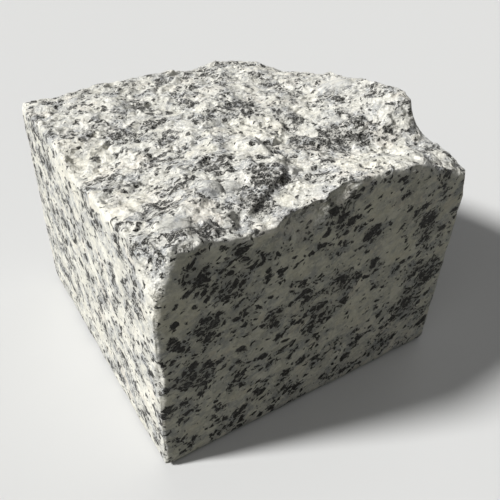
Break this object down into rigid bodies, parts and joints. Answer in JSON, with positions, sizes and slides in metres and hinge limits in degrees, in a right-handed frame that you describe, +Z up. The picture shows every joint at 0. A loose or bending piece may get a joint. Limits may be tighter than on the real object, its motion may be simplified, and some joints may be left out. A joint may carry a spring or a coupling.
{
  "type": "granite cobblestone",
  "caption": "Squat block of speckled grey granite with flat sawn sides and base and a rough, wavy split top with broken edges, used as a paving cobble.",
  "frame": {"origin": "middle of the sawn base", "axes": "+X along the front face to the right, +Y from the front face to the back, +Z up to the split top"},
  "size_m": [0.101, 0.1, 0.0805],
  "materials": {
    "granite": "rough split top and matt sawn sides, white and grey crystals speckled with black mica"
  },
  "bodies": {
    "root": {"granite_cobblestone": "granite"}
  },
  "joints": []
}
